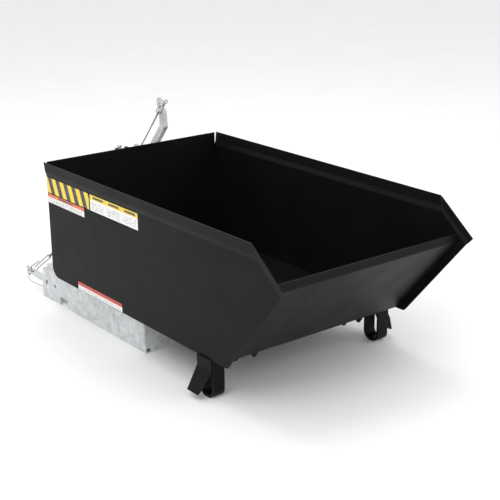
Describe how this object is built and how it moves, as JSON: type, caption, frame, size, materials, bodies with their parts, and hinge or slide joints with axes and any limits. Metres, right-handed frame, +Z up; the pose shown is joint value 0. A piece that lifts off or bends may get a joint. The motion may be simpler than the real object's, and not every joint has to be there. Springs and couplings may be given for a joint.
{
  "type": "self-dumping hopper",
  "caption": "Low steel hopper with a sloped pouring lip, hinged on a galvanised fork-pocket base, with a rear latch, a hand lever and a pull rope. The modelled latch does not lock the hopper.",
  "frame": {"origin": "centre of the whole hopper and base in plan, on the ground under the base and the front feet", "axes": "+Z up, -Y towards the pouring lip, +Y towards the latch and the fork pockets, +X completing the right hand, on the hand lever side"},
  "size_m": [0.8288, 1.625, 0.727],
  "materials": {
    "black_paint": "semi-gloss black powder coat",
    "galvanised": "mottled hot-dip zinc, satin",
    "plated_steel": "bright zinc plate",
    "spring_wire": "plain drawn wire",
    "wire_rope": "stranded galvanised steel rope",
    "lanyard_wire": "thin stranded steel cable",
    "sleeve_metal": "crimped aluminium",
    "label_hazard": "yellow and black striped vinyl film",
    "label_notice": "white vinyl film with an orange-red header",
    "label_steps": "white vinyl film with a yellow header and three panels",
    "label_lower": "white vinyl film with a red header"
  },
  "bodies": {
    "hopper": {"hopper_wrap": "black_paint", "hopper_left_side": "black_paint", "hopper_right_side": "black_paint", "foot_strap_left": "black_paint", "foot_strap_right": "black_paint", "foot_wing_left": "black_paint", "foot_wing_right": "black_paint", "front_tabs": "black_paint", "tie_loops": "black_paint", "hinge_ears": "black_paint", "catch_cheeks": "black_paint", "catch_bar": "plated_steel", "label_hazard": "label_hazard", "label_notice": "label_notice", "label_steps": "label_steps", "label_lower": "label_lower"},
    "base": {"base_left_side": "galvanised", "base_right_side": "galvanised", "base_front_panel": "galvanised", "base_rear_beam": "galvanised", "base_middle_beam": "galvanised", "base_straps": "galvanised", "fork_pocket_left": "galvanised", "fork_pocket_right": "galvanised", "corner_clip": "galvanised", "hinge_lugs": "galvanised", "hinge_pins": "plated_steel", "hinge_washers": "plated_steel", "hinge_cotters": "plated_steel", "mast_left_post": "galvanised", "mast_right_post": "galvanised", "mast_foot": "galvanised", "mast_bolts": "plated_steel", "mast_washers": "plated_steel", "mast_ties": "galvanised", "return_spring": "spring_wire", "anchor_arm": "galvanised", "arm_ring": "spring_wire", "lower_clip": "spring_wire", "lower_sleeve": "sleeve_metal", "rope_eye_lower": "wire_rope", "pull_rope": "wire_rope", "lanyard": "lanyard_wire", "lanyard_sleeves": "sleeve_metal"},
    "lever": {"lever_shaft": "plated_steel", "shaft_collars": "plated_steel", "latch_finger": "galvanised", "release_lever": "galvanised", "upper_clip": "spring_wire", "upper_clip_ring": "spring_wire", "rope_eye_upper": "wire_rope", "upper_sleeve": "sleeve_metal"}
  },
  "joints": [
    {"name": "hopper_tip", "type": "hinge", "parent": "base", "child": "hopper", "pos_m": [0, -0.1005, 0.112], "axis": [1, 0, 0], "range_deg": [0, 80]},
    {"name": "lever_pull", "type": "hinge", "parent": "base", "child": "lever", "pos_m": [0, 0.6145, 0.5], "axis": [-1, 0, 0], "range_deg": [0, 25], "stiffness_Nm_per_rad": 2, "springref_deg": -17.19}
  ]
}
